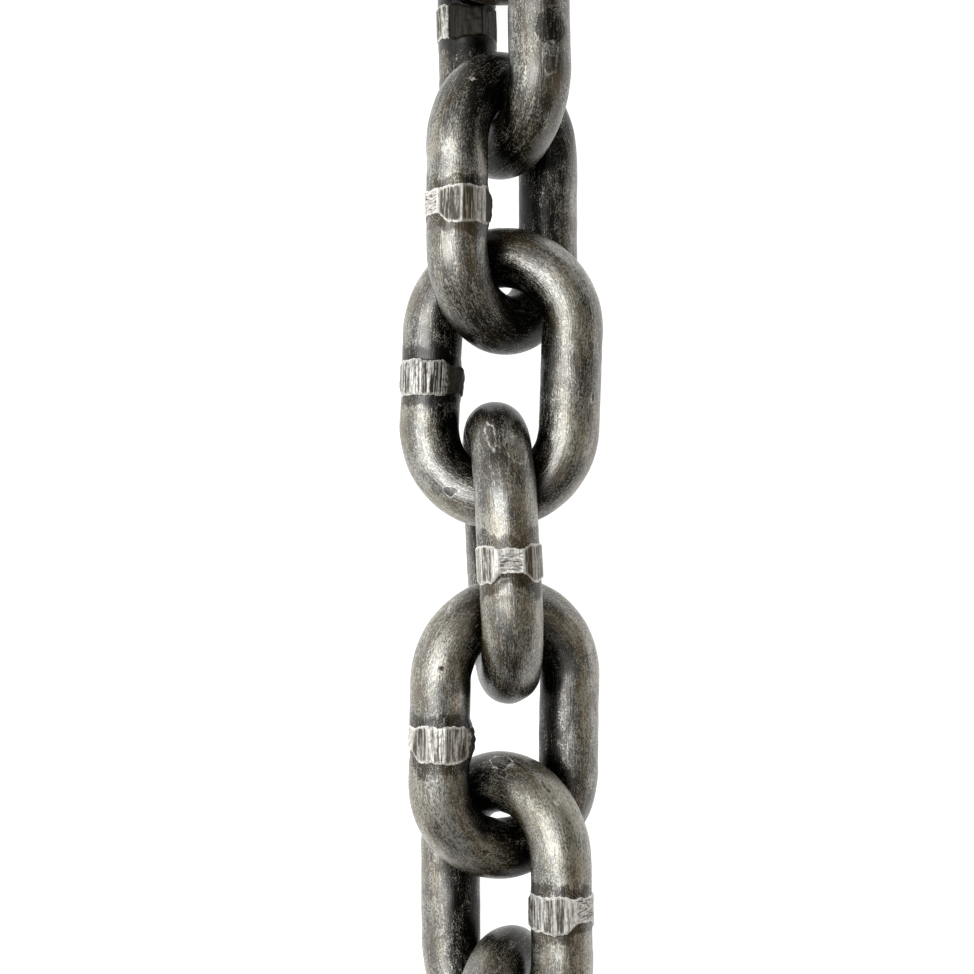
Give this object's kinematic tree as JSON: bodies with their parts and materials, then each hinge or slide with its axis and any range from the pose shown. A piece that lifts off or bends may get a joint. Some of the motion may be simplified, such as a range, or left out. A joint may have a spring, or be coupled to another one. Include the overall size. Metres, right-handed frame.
{
  "type": "welded short-link chain",
  "caption": "Length of welded short-link steel chain lying straight on a level floor: round bar bent into ovals that hang in each other, each closed by a proud trimmed weld.",
  "frame": {"origin": "on the floor, under the middle of the chain's box", "axes": "+Y along the chain towards link_01, +Z up from the floor, +X to the right when +Y is up"},
  "size_m": [0.0694, 1.0248, 0.0684],
  "materials": {
    "dark_steel": "satin"
  },
  "bodies": {
    "root": {"link_01": "dark_steel", "link_02": "dark_steel", "link_03": "dark_steel", "link_04": "dark_steel", "link_05": "dark_steel", "link_06": "dark_steel", "link_07": "dark_steel", "link_08": "dark_steel", "link_09": "dark_steel", "link_10": "dark_steel", "link_11": "dark_steel", "link_12": "dark_steel", "link_13": "dark_steel", "link_14": "dark_steel", "link_15": "dark_steel", "link_16": "dark_steel", "link_17": "dark_steel"}
  },
  "joints": []
}
